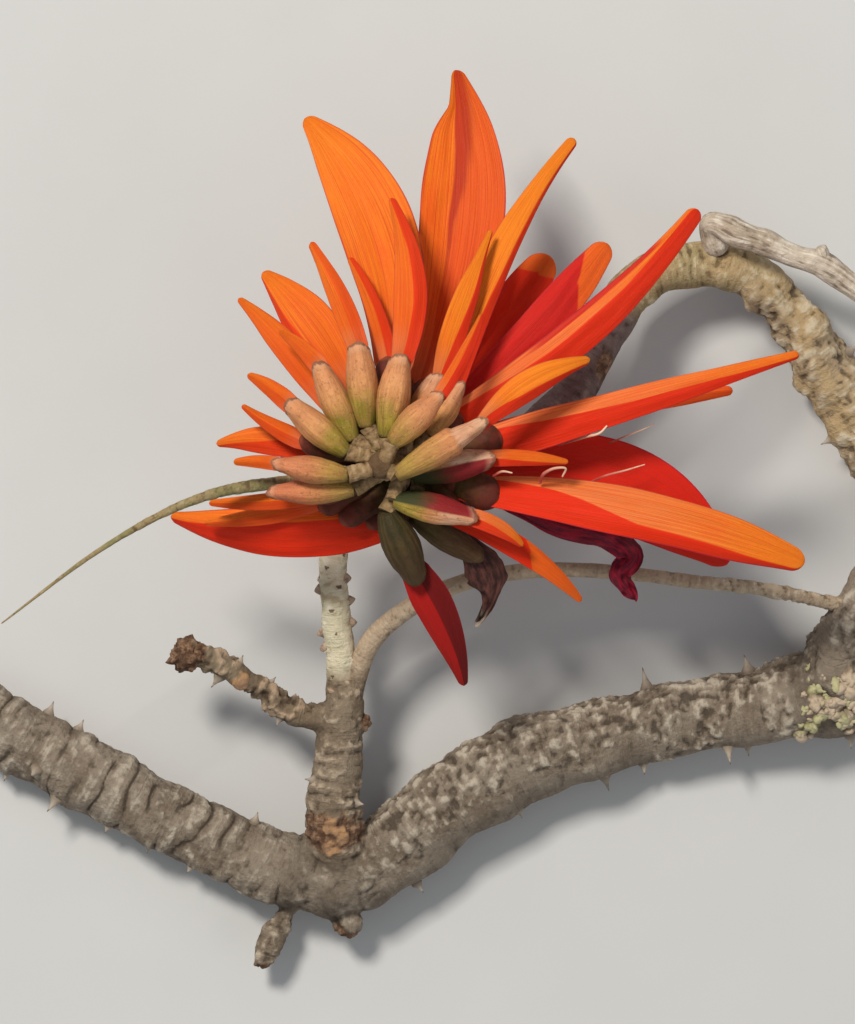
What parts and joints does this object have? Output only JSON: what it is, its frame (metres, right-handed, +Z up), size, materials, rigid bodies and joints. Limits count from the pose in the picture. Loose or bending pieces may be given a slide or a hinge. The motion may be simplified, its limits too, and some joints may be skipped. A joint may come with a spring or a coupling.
{
  "type": "cut flowering branch of a coral tree",
  "caption": "Cut branch of a coral tree: thick thorny limbs, a leafless flowering spur and one open raceme of long folded orange-red petals, lying down.",
  "frame": {"origin": "on the surface that the branch lies on, under the middle of its box", "axes": "+Z up, out of the open bloom; +X to the right along the thick limb; +Y from the thick limb towards the bloom"},
  "size_m": [0.2032, 0.1798, 0.0723],
  "materials": {
    "grey_bark": "matte",
    "pale_bark": "matte",
    "twig_bark": "satin",
    "tan_bark": "matte",
    "dark_bark": "satin",
    "stalk_skin": "satin",
    "calyx_skin": "satin",
    "petal_orange": "satin",
    "petal_crimson": "satin",
    "petal_wilted": "matte"
  },
  "bodies": {
    "root": {"limb_right": "grey_bark", "limb_left": "grey_bark", "spur": "grey_bark", "stub_twig": "grey_bark", "pale_stem": "pale_bark", "arch_twig_low": "twig_bark", "arch_twig_high": "twig_bark", "upper_limb": "grey_bark", "crook": "tan_bark", "dark_stem": "dark_bark", "broken_twig": "grey_bark", "calyx_01": "calyx_skin", "calyx_02": "calyx_skin", "calyx_03": "calyx_skin", "calyx_04": "calyx_skin", "calyx_05": "calyx_skin", "calyx_06": "calyx_skin", "calyx_07": "calyx_skin", "calyx_08": "calyx_skin", "calyx_09": "calyx_skin", "calyx_10": "calyx_skin", "calyx_11": "calyx_skin", "calyx_12": "calyx_skin", "calyx_13": "calyx_skin", "calyx_14": "calyx_skin", "raceme_core": "stalk_skin", "tail": "stalk_skin", "petal_01": "petal_orange", "petal_02": "petal_orange", "petal_03": "petal_orange", "petal_04": "petal_orange", "petal_05": "petal_orange", "petal_06": "petal_orange", "petal_07": "petal_crimson", "petal_08": "petal_crimson", "petal_09": "petal_orange", "petal_10": "petal_orange", "petal_11": "petal_crimson", "petal_12": "petal_orange", "petal_13": "petal_crimson", "petal_14": "petal_orange", "petal_15": "petal_crimson", "petal_16": "petal_orange", "petal_17": "petal_crimson", "petal_18": "petal_wilted", "petal_19": "petal_wilted", "petal_20": "petal_crimson", "petal_21": "petal_orange", "petal_22": "petal_orange", "petal_23": "petal_orange", "petal_24": "petal_orange", "petal_25": "petal_orange", "petal_26": "petal_orange", "petal_27": "petal_orange", "petal_28": "petal_orange", "petal_29": "petal_orange", "petal_30": "petal_orange", "petal_31": "petal_orange", "petal_32": "petal_orange"}
  },
  "joints": []
}
